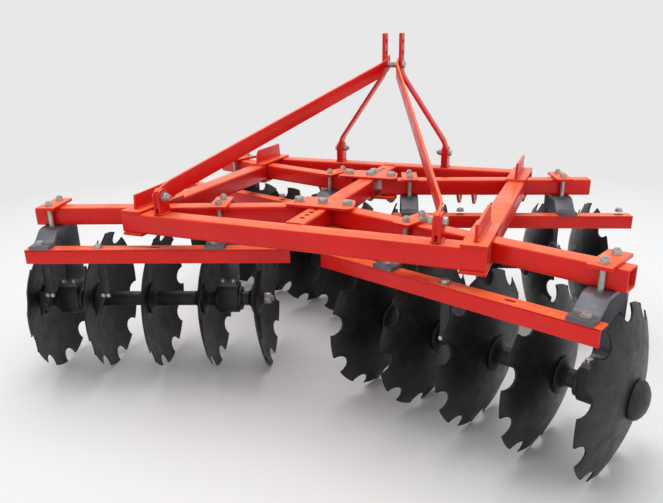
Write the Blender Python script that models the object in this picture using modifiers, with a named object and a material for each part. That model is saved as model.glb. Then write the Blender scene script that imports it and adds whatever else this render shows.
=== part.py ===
"""Mounted tandem disc harrow in metres: X to the right, Y forward to the tractor, Z up, floor at Z = 0."""

import math

import bmesh
import bpy
from mathutils import Matrix, Vector

# ---- overall sizes (metres) ----
DISC_RADIUS = 0.280
DISC_PITCH = 0.2225
DISC_DISH = 0.058
DISC_THICK = 0.006
DISC_FLAT = 0.068
DISC_MID_RING = 0.170
DISC_NOTCHES = 10
DISC_STEPS = 30
NOTCH_RADIUS = 0.041
NOTCH_SIDES = 10
DISCS_PER_GANG = 5
FORE_AFT_SHIFT = 0.0062

BEAM = 0.070
BEAM_WALL = 0.006
PIVOT_X = 0.100
REAR_PIVOT_Y = -0.276
FRONT_PIVOT_Y = 0.282
REAR_ANGLE = 20.0
FRONT_ANGLE = 18.0

FRAME_HALF_WIDTH = 0.680
RAIL_INSET = 0.042
FRAME_MID_Z = 0.652
TUBE_TALL = BEAM + 0.006
TUBE_DEEP = 0.080
TUBE_WALL = 0.006
TUBE_ROUND = 0.010
TOUCH = 0.0003
REAR_CLEAR = 0.032
FRONT_CLEAR = 0.0814


def crossbar_face(pivot_y, angle, clear):
    """How far from the middle a crossbar's outer face lies, so that the beam clears it at the corner."""
    lean = math.radians(angle)
    run = (FRAME_HALF_WIDTH - RAIL_INSET - PIVOT_X) * math.tan(lean)
    return abs(pivot_y) + run + BEAM / 2 / math.cos(lean) + clear + TUBE_DEEP


REAR_FACE_Y = -crossbar_face(REAR_PIVOT_Y, REAR_ANGLE, REAR_CLEAR)
FRONT_FACE_Y = crossbar_face(FRONT_PIVOT_Y, FRONT_ANGLE, FRONT_CLEAR)

PIVOT_BORE = 0.0128
PIVOT_PIN = 0.0120
BEAM_PAST_PIVOT = 0.042
HOLE_PITCH = 0.040
FREE_HOLES = 4
RAIL_BORE = 0.0095

PLATE = 0.010
CORNER_PLATE_LONG = 0.290
CORNER_PLATE_WIDE = 0.084
FIN_TALL = 0.064
FIN_THICK = 0.010
REAR_WINDOW = 0.134
FRONT_WINDOW = 0.182

AXLE_FORWARD = 0.0245
SHAFT_RADIUS = 0.0160
SPOOL_RADIUS = 0.0300
FLANGE_RADIUS = 0.0620
HOUSING_BORE = 0.0312
HOUSING_LONG = 0.108
HANGER_WIDE = 0.076
HANGER_THICK = 0.014
CLAMP_WIDE = 0.070
CLAMP_LONG = 0.168
CLAMP_THICK = 0.012
CLAMP_BOLT_OUT = 0.0475
CLAMP_NUT = 0.0130
CLAMP_BOLT_RADIUS = 0.0080

BAR_REAR = 0.180
BAR_LEG = 0.055
BAR_THICK = 0.006
BAR_TOP_Z = 0.561
STATION_FROM_HUB = 0.105

MAST_TOP_Z = 1.309
MAST_BEND_Z = 1.130
MAST_FOOT_X = 0.272
MAST_TOP_X = 0.041
MAST_THICK = 0.012
MAST_WIDE = 0.054
MAST_BOLT_Z = 1.168
TOP_PIN_Z = (1.221, 1.272)
TOP_PIN_BORE = 0.0130
BRACE_FOOT_X = 0.520
BRACE_THICK = 0.010
BRACE_WIDE = 0.064
LUG_BOLT_Z = 0.756
LUG_THICK = 0.009
HITCH_X = 0.375
HITCH_GAP = 0.062
HITCH_THICK = 0.012
HITCH_BORE_Z = 0.532
HITCH_BORE = 0.0145

# where each row's beams end and where their outer disc stands, out along the beam from the pivot
REAR_BEAM_END = FRAME_HALF_WIDTH + 0.360
FRONT_BEAM_END = FRAME_HALF_WIDTH + 0.194
REAR_HUB = REAR_BEAM_END + 0.046
FRONT_HUB = FRONT_BEAM_END - 0.013

# name, side (+1 right), row (-1 rear, +1 front), gang angle, pivot y, beam end, outer hub,
# stations with a scraper, and the turn of each disc on its axle in degrees, outer disc first
GANGS = (
    ("rear_left", -1, -1, REAR_ANGLE, REAR_PIVOT_Y, REAR_BEAM_END, REAR_HUB, (1, 2), (18, 22, 0, 23, 19)),
    ("rear_right", 1, -1, REAR_ANGLE, REAR_PIVOT_Y, REAR_BEAM_END, REAR_HUB, (3,), (19, 19, 19, 5, 26)),
    ("front_left", -1, 1, FRONT_ANGLE, FRONT_PIVOT_Y, FRONT_BEAM_END, FRONT_HUB, (), (20, 7, 18, 30, 2)),
    ("front_right", 1, 1, FRONT_ANGLE, FRONT_PIVOT_Y, FRONT_BEAM_END, FRONT_HUB, (), (20, 5, 29, 9, 22)),
)

# finishes: colour, metallic, roughness
PAINT = ((0.55, 0.02, 0.02), 0.0, 0.35)
DISC_PAINT = ((0.03, 0.03, 0.032), 0.0, 0.4)
DARK_STEEL = ((0.12, 0.12, 0.12), 0.6, 0.5)
ZINC_STEEL = ((0.55, 0.55, 0.52), 0.9, 0.4)
SHARP_ANGLE = math.radians(35)


def clear_scene():
    for obj in list(bpy.data.objects):
        bpy.data.objects.remove(obj, do_unlink=True)
    for mesh in list(bpy.data.meshes):
        bpy.data.meshes.remove(mesh)


clear_scene()
HARROW = bpy.data.collections.new("disc_harrow")
bpy.context.scene.collection.children.link(HARROW)


def material(name, colour, metallic, roughness):
    made = bpy.data.materials.new(name)
    made.use_nodes = True
    shader = made.node_tree.nodes["Principled BSDF"]
    shader.inputs["Base Color"].default_value = (*colour, 1.0)
    shader.inputs["Metallic"].default_value = metallic
    shader.inputs["Roughness"].default_value = roughness
    return made


# ---- shape helpers: each returns a mesh in world metres ----
def settle(mesh, matrix):
    """Weld, place and turn the faces outward."""
    mesh.transform(matrix)
    work = bmesh.new()
    work.from_mesh(mesh)
    bmesh.ops.remove_doubles(work, verts=work.verts, dist=1e-6)
    bmesh.ops.recalc_face_normals(work, faces=work.faces)
    if work.calc_volume(signed=True) < 0:
        bmesh.ops.reverse_faces(work, faces=work.faces)
    work.to_mesh(mesh)
    work.free()
    return mesh


def flat(outlines, depth, matrix):
    """A flat outline with its holes, filled and extruded both ways from its plane."""
    curve = bpy.data.curves.new("outline", "CURVE")
    curve.dimensions = "2D"
    curve.fill_mode = "BOTH"
    curve.extrude = depth / 2
    for outline in outlines:
        spline = curve.splines.new("POLY")
        spline.points.add(len(outline) - 1)
        for point, place in zip(spline.points, outline):
            point.co = (place[0], place[1], 0.0, 1.0)
        spline.use_cyclic_u = True
    holder = bpy.data.objects.new("outline", curve)
    bpy.context.scene.collection.objects.link(holder)
    graph = bpy.context.evaluated_depsgraph_get()
    mesh = bpy.data.meshes.new_from_object(holder.evaluated_get(graph))
    bpy.data.objects.remove(holder, do_unlink=True)
    bpy.data.curves.remove(curve)
    return settle(mesh, matrix)


def block(low, high, matrix=Matrix()):
    work = bmesh.new()
    bmesh.ops.create_cube(work, size=1.0)
    size = [b - a for a, b in zip(low, high)]
    middle = [(a + b) / 2 for a, b in zip(low, high)]
    bmesh.ops.scale(work, vec=size, verts=work.verts)
    bmesh.ops.translate(work, vec=middle, verts=work.verts)
    mesh = bpy.data.meshes.new("block")
    work.to_mesh(mesh)
    work.free()
    return settle(mesh, matrix)


def rod(start, end, radius, sides, matrix=Matrix()):
    start = Vector(start)
    end = Vector(end)
    along = end - start
    work = bmesh.new()
    bmesh.ops.create_cone(
        work, cap_ends=True, segments=sides, radius1=radius, radius2=radius, depth=along.length
    )
    turn = along.to_track_quat("Z", "Y").to_matrix().to_4x4()
    bmesh.ops.transform(work, matrix=Matrix.Translation((start + end) / 2) @ turn, verts=work.verts)
    mesh = bpy.data.meshes.new("rod")
    work.to_mesh(mesh)
    work.free()
    return settle(mesh, matrix)


def turned(profile, sides, matrix, closed=False):
    """A solid of revolution about local X from (x, radius) points, which end on the axis unless closed."""
    work = bmesh.new()
    points = [work.verts.new((x, 0.0, radius)) for x, radius in profile]
    pairs = list(zip(points, points[1:]))
    if closed:
        pairs.append((points[-1], points[0]))
    for pair in pairs:
        work.edges.new(pair)
    mesh = bpy.data.meshes.new("profile")
    work.to_mesh(mesh)
    work.free()
    holder = bpy.data.objects.new("turned", mesh)
    bpy.context.scene.collection.objects.link(holder)
    lathe = holder.modifiers.new("lathe", "SCREW")
    lathe.axis = "X"
    lathe.steps = sides
    lathe.render_steps = sides
    lathe.use_merge_vertices = True
    lathe.merge_threshold = 1e-5
    graph = bpy.context.evaluated_depsgraph_get()
    result = bpy.data.meshes.new_from_object(holder.evaluated_get(graph))
    bpy.data.objects.remove(holder, do_unlink=True)
    return settle(result, matrix)


def combine(base, others, operation):
    """Join or cut one mesh with the others through exact Booleans."""
    holder = bpy.data.objects.new("base", base)
    bpy.context.scene.collection.objects.link(holder)
    tools = []
    for mesh in others:
        tool = bpy.data.objects.new("tool", mesh)
        bpy.context.scene.collection.objects.link(tool)
        tools.append(tool)
        step = holder.modifiers.new("step", "BOOLEAN")
        step.operation = operation
        step.solver = "EXACT"
        step.object = tool
    graph = bpy.context.evaluated_depsgraph_get()
    result = bpy.data.meshes.new_from_object(holder.evaluated_get(graph))
    for obj in [holder, *tools]:
        bpy.data.objects.remove(obj, do_unlink=True)
    return result


def join(base, *others):
    return combine(base, others, "UNION")


def cut(base, *others):
    return combine(base, others, "DIFFERENCE")


def node(name, mesh, finish, origin=(0.0, 0.0, 0.0)):
    """One named piece, its origin on the axis that it turns about."""
    origin = Vector(origin)
    mesh.transform(Matrix.Translation(-origin))
    mesh.name = name
    mesh.materials.clear()
    mesh.materials.append(material(name + "_finish", *finish))
    mesh.shade_smooth()
    mesh.set_sharp_from_angle(angle=SHARP_ANGLE)
    obj = bpy.data.objects.new(name, mesh)
    obj.location = origin + Vector((0.0, FORE_AFT_SHIFT, 0.0))
    HARROW.objects.link(obj)
    return obj


# ---- outlines ----
def rounded(wide, tall, radius, steps=1):
    points = []
    for sx, sy, start in ((1, 1, 0), (-1, 1, 90), (-1, -1, 180), (1, -1, 270)):
        for k in range(steps + 1):
            angle = math.radians(start + 90 * k / steps)
            x = sx * (wide / 2 - radius) + radius * math.cos(angle)
            y = sy * (tall / 2 - radius) + radius * math.sin(angle)
            points.append((x, y))
    return points


def square(wide, tall):
    return [(wide / 2, tall / 2), (-wide / 2, tall / 2), (-wide / 2, -tall / 2), (wide / 2, -tall / 2)]


def circle(x, y, radius, sides):
    return [
        (x + radius * math.cos(2 * math.pi * k / sides), y + radius * math.sin(2 * math.pi * k / sides))
        for k in range(sides)
    ]


def strip(points, thick):
    """The outline of a bent flat bar whose middle line runs through the points."""
    left = []
    right = []
    last = len(points) - 1
    for k, place in enumerate(points):
        here = Vector(place)
        before = (here - Vector(points[k - 1])).normalized() if k else None
        after = (Vector(points[k + 1]) - here).normalized() if k < last else None
        along = ((before or after) + (after or before)).normalized()
        across = Vector((-along.y, along.x))
        lean = across.dot(Vector((-(after or before).y, (after or before).x)))
        step = across * (thick / 2 / lean)
        left.append(tuple(here + step))
        right.append(tuple(here - step))
    return left + right[::-1]


# planes that an outline is drawn on: local x, y, z go to the named axes
def plane(x_axis, y_axis, place):
    x_axis = Vector(x_axis)
    y_axis = Vector(y_axis)
    z_axis = x_axis.cross(y_axis)
    turn = Matrix((x_axis, y_axis, z_axis)).transposed().to_4x4()
    return Matrix.Translation(place) @ turn


def seen_from_side(x, y=0.0, z=0.0):
    """Outline x is forward and outline y is up; the extrusion runs along X."""
    return plane((0, 1, 0), (0, 0, 1), (x, y, z))


def seen_from_rear(y, x=0.0, z=0.0):
    """Outline x is right and outline y is up; the extrusion runs along Y."""
    return plane((1, 0, 0), (0, 0, 1), (x, y, z))


def seen_from_top(z, x=0.0, y=0.0):
    return plane((1, 0, 0), (0, 1, 0), (x, y, z))


TOP_Z = FRAME_MID_Z + TUBE_TALL / 2
LOW_Z = FRAME_MID_Z - TUBE_TALL / 2
TUBE_SECTION = [
    rounded(TUBE_DEEP, TUBE_TALL, TUBE_ROUND),
    square(TUBE_DEEP - 2 * TUBE_WALL, TUBE_TALL - 2 * TUBE_WALL),
]


# ---- main frame ----
def lug_pair(x, y, gap, thick, wide, z_low, z_high):
    """Two upright plates with rounded tops, one each side of a flat bar."""
    round_z = z_high - wide / 2
    outline = [(-wide / 2, z_low), (wide / 2, z_low)]
    for k in range(7):
        angle = math.pi * k / 6
        outline.append((wide / 2 * math.cos(angle), round_z + wide / 2 * math.sin(angle)))
    offset = (gap + thick) / 2
    return [flat([outline], thick, seen_from_side(x + side * offset, y)) for side in (-1, 1)]


REAR_MID_Y = REAR_FACE_Y + TUBE_DEEP / 2
FRONT_MID_Y = FRONT_FACE_Y - TUBE_DEEP / 2


def build_crossbars():
    length = 2 * FRAME_HALF_WIDTH
    rear = flat(TUBE_SECTION, length, seen_from_side(0.0, REAR_MID_Y, FRAME_MID_Z))
    lugs = []
    gap = BRACE_THICK + 2 * TOUCH
    for side in (-1, 1):
        x = side * BRACE_FOOT_X
        lugs += lug_pair(x, REAR_MID_Y, gap, LUG_THICK, 0.060, TOP_Z - 0.003, LUG_BOLT_Z + 0.030)
    node("rear_crossbar", join(rear, *lugs), PAINT)
    front = flat(TUBE_SECTION, length, seen_from_side(0.0, FRONT_MID_Y, FRAME_MID_Z))
    lugs = []
    gap = MAST_THICK + 2 * TOUCH
    for side in (-1, 1):
        x = side * MAST_FOOT_X
        lugs += lug_pair(x, FRONT_MID_Y, gap, LUG_THICK, 0.058, TOP_Z - 0.003, LUG_BOLT_Z + 0.034)
    plates = []
    for side in (-1, 1):
        centre = side * HITCH_X
        for half in (-1, 1):
            x = centre + half * (HITCH_GAP + HITCH_THICK) / 2
            y = FRONT_FACE_Y + 0.032
            outline = [(-0.100, LOW_Z + 0.003), (-0.092, LOW_Z - 0.028), (-0.034, HITCH_BORE_Z - 0.016)]
            for k in range(7):
                angle = math.radians(205 + 155 * k / 6)
                outline.append((0.036 * math.cos(angle), HITCH_BORE_Z + 0.036 * math.sin(angle)))
            outline += [(0.036, LOW_Z - 0.022), (-0.004, LOW_Z + 0.003)]
            hole = circle(0.0, HITCH_BORE_Z, HITCH_BORE, 12)
            plates.append(flat([outline, hole], HITCH_THICK, seen_from_side(x, y)))
    node("front_crossbar", join(front, *lugs, *plates), PAINT)


def build_side_rail(name, side):
    """The tube, the four corner plates that grip the crossbars and the four upright fins on them."""
    x = side * (FRAME_HALF_WIDTH - RAIL_INSET)
    rear_end = REAR_FACE_Y + TUBE_DEEP + REAR_WINDOW
    front_end = FRONT_FACE_Y - TUBE_DEEP - FRONT_WINDOW
    section = [
        rounded(TUBE_DEEP, TUBE_TALL, TUBE_ROUND),
        square(TUBE_DEEP - 2 * TUBE_WALL, TUBE_TALL - 2 * TUBE_WALL),
    ]
    middle = (rear_end + front_end) / 2
    rail = flat(section, front_end - rear_end, seen_from_rear(middle, x, FRAME_MID_Z))
    added = []
    spans = (
        (REAR_FACE_Y, REAR_FACE_Y + CORNER_PLATE_LONG),
        (FRONT_FACE_Y - CORNER_PLATE_LONG, FRONT_FACE_Y),
    )
    half = CORNER_PLATE_WIDE / 2
    for low_y, high_y in spans:
        added.append(block((x - half, low_y, TOP_Z + TOUCH), (x + half, high_y, TOP_Z + PLATE)))
        added.append(block((x - half, low_y, LOW_Z - PLATE), (x + half, high_y, LOW_Z - TOUCH)))
    # a thin pad joins each plate to the rail below or above it
    for low_y, high_y in ((rear_end + 0.004, spans[0][1] - 0.004), (spans[1][0] + 0.004, front_end - 0.004)):
        added.append(block((x - 0.028, low_y, TOP_Z - 0.003), (x + 0.028, high_y, TOP_Z + 0.003)))
        added.append(block((x - 0.028, low_y, LOW_Z - 0.003), (x + 0.028, high_y, LOW_Z + 0.003)))
    fin_x = x
    rear_fin = [
        (REAR_FACE_Y + 0.030, TOP_Z + PLATE - 0.002),
        (REAR_FACE_Y + 0.038, TOP_Z + PLATE + FIN_TALL * 0.84),
        (REAR_FACE_Y + 0.262, TOP_Z + PLATE + FIN_TALL),
        (REAR_FACE_Y + 0.282, TOP_Z + PLATE + FIN_TALL * 0.62),
        (REAR_FACE_Y + 0.286, TOP_Z + PLATE - 0.002),
    ]
    front_fin = [
        (FRONT_FACE_Y - 0.286, TOP_Z + PLATE - 0.002),
        (FRONT_FACE_Y - 0.282, TOP_Z + PLATE + FIN_TALL * 0.62),
        (FRONT_FACE_Y - 0.262, TOP_Z + PLATE + FIN_TALL),
        (FRONT_FACE_Y - 0.038, TOP_Z + PLATE + FIN_TALL),
        (FRONT_FACE_Y - 0.030, TOP_Z + PLATE - 0.002),
    ]
    for outline in (rear_fin, front_fin):
        added.append(flat([outline], FIN_THICK, seen_from_side(fin_x)))
    node(name, join(rail, *added), PAINT)


def build_centre_rail():
    low_y = REAR_FACE_Y + TUBE_DEEP + TOUCH
    high_y = FRONT_FACE_Y - TUBE_DEEP - TOUCH
    rail = flat(TUBE_SECTION, high_y - low_y, seen_from_rear((low_y + high_y) / 2, 0.0, FRAME_MID_Z))
    bores = []
    for row, pivot_y in ((-1, REAR_PIVOT_Y), (1, FRONT_PIVOT_Y)):
        for k in range(1, FREE_HOLES + 1):
            y = pivot_y + row * (k * HOLE_PITCH + 0.030)
            bores.append(rod((0, y, LOW_Z - 0.01), (0, y, TOP_Z + 0.01), RAIL_BORE, 6))
    node("centre_rail", cut(rail, *bores), PAINT)


def build_centre_plates(name, pivot_y):
    """Top and bottom plates, joined by the two pins that the gang beams swing on."""
    outline = [
        (-0.136, -0.030),
        (-0.136, -0.052),
        (-0.122, -0.064),
        (0.122, -0.064),
        (0.136, -0.052),
        (0.136, -0.030),
        (0.112, 0.062),
        (0.092, 0.080),
        (-0.092, 0.080),
        (-0.112, 0.062),
    ]
    gap = 0.0005
    top = flat([outline], PLATE, seen_from_top(TOP_Z + gap + PLATE / 2, 0.0, pivot_y))
    low = flat([outline], PLATE, seen_from_top(LOW_Z - gap - PLATE / 2, 0.0, pivot_y))
    pins = []
    for side in (-1, 1):
        x = side * PIVOT_X
        pins.append(rod((x, pivot_y, LOW_Z - 0.024), (x, pivot_y, TOP_Z + 0.024), PIVOT_PIN, 10))
        head_z = TOP_Z + gap + PLATE
        nut_z = LOW_Z - gap - PLATE
        pins.append(rod((x, pivot_y, head_z - 0.001), (x, pivot_y, head_z + 0.0145), 0.0175, 6))
        pins.append(rod((x, pivot_y, nut_z - 0.0165), (x, pivot_y, nut_z + 0.001), 0.0175, 6))
    node(name, join(top, pins[0], low, *pins[1:]), PAINT, (0.0, pivot_y, FRAME_MID_Z))


# ---- mast ----
def build_mast():
    for name, side in (("left_mast_bar", -1), ("right_mast_bar", 1)):
        line = [
            (side * MAST_FOOT_X, TOP_Z + 0.006),
            (side * MAST_FOOT_X, 0.800),
            (side * MAST_TOP_X, MAST_BEND_Z),
            (side * MAST_TOP_X, MAST_TOP_Z),
        ]
        bar = flat([strip(line, MAST_THICK)], MAST_WIDE, seen_from_rear(FRONT_MID_Y))
        bores = []
        for z in TOP_PIN_Z:
            bores.append(
                rod((side * 0.01, FRONT_MID_Y, z), (side * 0.08, FRONT_MID_Y, z), TOP_PIN_BORE, 12)
            )
        low = (side * 0.01, FRONT_MID_Y, MAST_BOLT_Z)
        high = (side * 0.08, FRONT_MID_Y, MAST_BOLT_Z)
        bores.append(rod(low, high, 0.0106, 10))
        node(name, cut(bar, *bores), PAINT)
    brace_x = MAST_TOP_X - MAST_THICK / 2 - TOUCH - BRACE_THICK / 2
    run = FRONT_MID_Y - REAR_MID_Y
    slope = (MAST_BOLT_Z - LUG_BOLT_Z) / run
    for name, side in (("left_brace", -1), ("right_brace", 1)):
        line = [
            (side * BRACE_FOOT_X, REAR_MID_Y - 0.026),
            (side * BRACE_FOOT_X, REAR_MID_Y + 0.040),
            (side * brace_x, FRONT_MID_Y - 0.045),
            (side * brace_x, FRONT_MID_Y + 0.030),
        ]
        bar = flat([strip(line, BRACE_THICK)], BRACE_WIDE, seen_from_top(0.0))
        lean = Matrix.Identity(4)
        lean[2][1] = slope
        lean[2][3] = LUG_BOLT_Z - slope * REAR_MID_Y
        bar = settle(bar, lean)
        bore = rod((0.0, FRONT_MID_Y, MAST_BOLT_Z), (side * 0.09, FRONT_MID_Y, MAST_BOLT_Z), 0.0106, 10)
        node(name, cut(bar, bore), PAINT)
    reach = MAST_TOP_X + MAST_THICK / 2
    inner = brace_x - BRACE_THICK / 2 - TOUCH
    profile = [
        (-reach - 0.013, 0),
        (-reach - 0.013, 0.0165),
        (-reach - TOUCH, 0.0165),
        (-reach - TOUCH, 0.0100),
        (-inner, 0.0100),
        (-inner, 0.0160),
        (inner, 0.0160),
        (inner, 0.0100),
        (reach + TOUCH, 0.0100),
        (reach + TOUCH, 0.0165),
        (reach + 0.013, 0.0165),
        (reach + 0.013, 0),
    ]
    place = Matrix.Translation((0.0, FRONT_MID_Y, MAST_BOLT_Z))
    node("mast_cross_bolt", turned(profile, 12, place), ZINC_STEEL)


# ---- gangs: local x runs out along the beam from its pivot, local y forward, local z up ----
def gang_frame(side, row, angle, pivot_y):
    turn = Matrix.Rotation(math.radians(row * angle), 4, "Z")
    mirror = Matrix.Diagonal((side, 1.0, 1.0, 1.0))
    return mirror @ Matrix.Translation((PIVOT_X, pivot_y, 0.0)) @ turn


def across_beam(frame, s):
    """Outline x is forward and outline y is up in the gang's own frame; the extrusion runs along the beam."""
    return frame @ plane((0, 1, 0), (0, 0, 1), (s, 0.0, 0.0))


def build_beam(name, frame, end, pivot):
    section = [rounded(BEAM, BEAM, 0.009), square(BEAM - 2 * BEAM_WALL, BEAM - 2 * BEAM_WALL)]
    middle = (end - BEAM_PAST_PIVOT) / 2
    place = frame @ plane((0, 1, 0), (0, 0, 1), (middle, 0.0, FRAME_MID_Z))
    tube = flat(section, end + BEAM_PAST_PIVOT, place)
    bore = rod((0, 0, FRAME_MID_Z - 0.05), (0, 0, FRAME_MID_Z + 0.05), PIVOT_BORE, 12, frame)
    node(name, cut(tube, bore), PAINT, pivot)


def build_hanger(name, frame, s, pivot):
    """The bent flat bar under the beam, with the bearing housing bolted to its foot as one solid."""
    seat_z = FRAME_MID_Z - BEAM / 2 - TOUCH - HANGER_THICK / 2
    tongue_z = BAR_TOP_Z + TOUCH + HANGER_THICK / 2
    leg_y = 0.080
    foot_z = DISC_RADIUS + 0.072
    line = [
        (-BAR_REAR - 0.002, tongue_z),
        (-0.132, tongue_z),
        (-0.078, seat_z),
        (leg_y - 0.014, seat_z),
        (leg_y, seat_z - 0.014),
        (leg_y, foot_z + 0.016),
        (leg_y - 0.016, foot_z),
        (-0.012, foot_z),
    ]
    bar = flat([strip(line, HANGER_THICK)], HANGER_WIDE, across_beam(frame, s))
    axle_z = DISC_RADIUS
    outline = [
        (AXLE_FORWARD + 0.050, axle_z + 0.066),
        (AXLE_FORWARD - 0.050, axle_z + 0.066),
        (AXLE_FORWARD - 0.050, axle_z - 0.034),
        (AXLE_FORWARD - 0.026, axle_z - 0.060),
        (AXLE_FORWARD + 0.026, axle_z - 0.060),
        (AXLE_FORWARD + 0.050, axle_z - 0.034),
    ]
    hole = circle(AXLE_FORWARD, axle_z, HOUSING_BORE, 14)
    housing = flat([outline, hole], HOUSING_LONG, across_beam(frame, s))
    bores = []
    for y in (-CLAMP_BOLT_OUT, CLAMP_BOLT_OUT):
        low = (s, y, seat_z - 0.03)
        high = (s, y, seat_z + 0.03)
        bores.append(rod(low, high, CLAMP_BOLT_RADIUS + 0.0006, 8, frame))
    node(name, cut(join(bar, housing), *bores), DARK_STEEL, pivot)


def build_clamp(name, frame, s, pivot):
    """The plate across the beam's top and its two long bolts down through the hanger's seat."""
    top_z = FRAME_MID_Z + BEAM / 2 + TOUCH
    low = (s - CLAMP_WIDE / 2, -CLAMP_LONG / 2, top_z)
    high = (s + CLAMP_WIDE / 2, CLAMP_LONG / 2, top_z + CLAMP_THICK)
    plate = block(low, high, frame)
    seat_low = FRAME_MID_Z - BEAM / 2 - 2 * TOUCH - HANGER_THICK
    bolts = []
    for y in (-CLAMP_BOLT_OUT, CLAMP_BOLT_OUT):
        bolts.append(rod((s, y, seat_low - 0.016), (s, y, top_z + 0.006), CLAMP_BOLT_RADIUS, 8, frame))
        head_z = top_z + CLAMP_THICK
        bolts.append(rod((s, y, head_z - 0.002), (s, y, head_z + 0.010), CLAMP_NUT, 6, frame))
        bolts.append(rod((s, y, seat_low - 0.014), (s, y, seat_low - TOUCH), CLAMP_NUT, 6, frame))
    node(name, join(plate, *bolts), PAINT, pivot)


def build_scraper_bar(name, frame, inner, outer, stations, fitted, hubs, concave, pivot):
    """An angle bar with one slot a station, and the scrapers still fitted to it."""
    section = [
        (-BAR_REAR, BAR_TOP_Z),
        (-BAR_REAR, BAR_TOP_Z - BAR_LEG),
        (-BAR_REAR + BAR_THICK, BAR_TOP_Z - BAR_LEG),
        (-BAR_REAR + BAR_THICK, BAR_TOP_Z - BAR_THICK),
        (-BAR_REAR + BAR_LEG, BAR_TOP_Z - BAR_THICK),
        (-BAR_REAR + BAR_LEG, BAR_TOP_Z),
    ]
    bar = flat([section], outer - inner, across_beam(frame, (inner + outer) / 2))
    slots = []
    for s in stations:
        outline = rounded(0.034, 0.013, 0.006)
        place = frame @ plane((1, 0, 0), (0, 1, 0), (s, -0.150, BAR_TOP_Z))
        slots.append(flat([outline], 0.03, place))
    bar = cut(bar, *slots)
    scrapers = []
    for k in fitted:
        s = stations[k - 1]
        hub = hubs[k - 1]
        arm_y = -0.152
        arm = [
            (-BAR_REAR + BAR_THICK + 0.006, BAR_TOP_Z - BAR_THICK - 0.0035),
            (arm_y + 0.010, BAR_TOP_Z - BAR_THICK - 0.0035),
            (arm_y + 0.014, BAR_TOP_Z - BAR_THICK - 0.018),
            (arm_y + 0.014, DISC_RADIUS + 0.072),
        ]
        scrapers.append(flat([strip(arm, 0.009)], 0.036, across_beam(frame, s)))
        blade = [
            (s - concave * 0.004, DISC_RADIUS + 0.096),
            (s - concave * 0.004, DISC_RADIUS + 0.070),
            (hub + concave * 0.046, DISC_RADIUS - 0.018),
            (hub + concave * 0.050, DISC_RADIUS + 0.020),
            (hub + concave * 0.060, DISC_RADIUS + 0.096),
        ]
        place = frame @ plane((1, 0, 0), (0, 0, 1), (0.0, arm_y + 0.014, 0.0))
        scrapers.append(flat([blade], 0.006, place))
    if scrapers:
        bar = join(bar, *scrapers)
    node(name, bar, PAINT, pivot)


def dish(radius):
    """How far the disc's middle surface has risen at this radius; its centre is flat under the flanges."""
    ball = (DISC_RADIUS**2 + DISC_DISH**2) / (2 * DISC_DISH)
    if radius <= DISC_FLAT:
        return 0.0
    share = (radius - DISC_FLAT) / (DISC_RADIUS - DISC_FLAT)
    flat_rise = ball - math.sqrt(ball**2 - DISC_FLAT**2)
    return ball - math.sqrt(ball**2 - radius**2) - flat_rise * (1 - share)


def notched_disc():
    """A dished disc about local X, hollow towards +X, with round notches in its rim and a tooth at its foot."""
    rings = (SHAFT_RADIUS * 1.055 + TOUCH, DISC_FLAT, DISC_MID_RING, DISC_RADIUS)
    outside = [(dish(radius) - DISC_THICK / 2, radius) for radius in rings]
    inside = [(dish(radius) + DISC_THICK / 2, radius) for radius in reversed(rings)]
    blank = turned(outside + inside, DISC_STEPS, Matrix(), closed=True)
    cutters = []
    for k in range(DISC_NOTCHES):
        angle = 2 * math.pi * (k + 0.5) / DISC_NOTCHES
        y = DISC_RADIUS * math.sin(angle)
        z = -DISC_RADIUS * math.cos(angle)
        cutters.append(rod((-0.02, y, z), (DISC_DISH + 0.02, y, z), NOTCH_RADIUS, NOTCH_SIDES))
    return cut(blank, *cutters)


DISC_BLANK = notched_disc()


def disc_mesh(frame, s, concave, turn):
    """A copy of the disc at its hub, its hollow side facing the concave direction."""
    face = Matrix.Rotation(math.pi if concave < 0 else 0.0, 4, "Z")
    spin = Matrix.Rotation(math.radians(turn), 4, "X")
    return settle(DISC_BLANK.copy(), frame @ Matrix.Translation((s, AXLE_FORWARD, DISC_RADIUS)) @ spin @ face)


def build_axle(name, frame, hubs, concave, origin):
    """The through shaft with its spools, the domed end washer and the nut at the hollow end."""
    ordered = sorted(hubs)
    half = DISC_THICK / 2 + TOUCH
    crown = [(-0.042, 0.0), (-0.036, 0.036), (-0.016, 0.062), (0.0, 0.064)]
    nut_end = [(-0.070, 0.0), (-0.070, 0.018), (-0.060, 0.024), (-0.034, 0.024), (-0.010, 0.060), (0.0, 0.060)]
    low_end = crown if concave > 0 else nut_end
    high_end = nut_end if concave > 0 else crown
    start = ordered[0] - half
    stop = ordered[-1] + half
    profile = [(start + dx, radius) for dx, radius in low_end]
    profile.append((start, SHAFT_RADIUS))
    for a, b in zip(ordered, ordered[1:]):
        profile += [
            (a + half, SHAFT_RADIUS),
            (a + half, FLANGE_RADIUS),
            (a + half + 0.009, FLANGE_RADIUS),
            (a + half + 0.024, SPOOL_RADIUS),
            (b - half - 0.024, SPOOL_RADIUS),
            (b - half - 0.009, FLANGE_RADIUS),
            (b - half, FLANGE_RADIUS),
            (b - half, SHAFT_RADIUS),
        ]
    profile.append((stop, SHAFT_RADIUS))
    profile += [(stop - dx, radius) for dx, radius in reversed(high_end)]
    place = frame @ Matrix.Translation((0.0, AXLE_FORWARD, DISC_RADIUS))
    node(name, turned(profile, 10, place), DARK_STEEL, origin)


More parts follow.
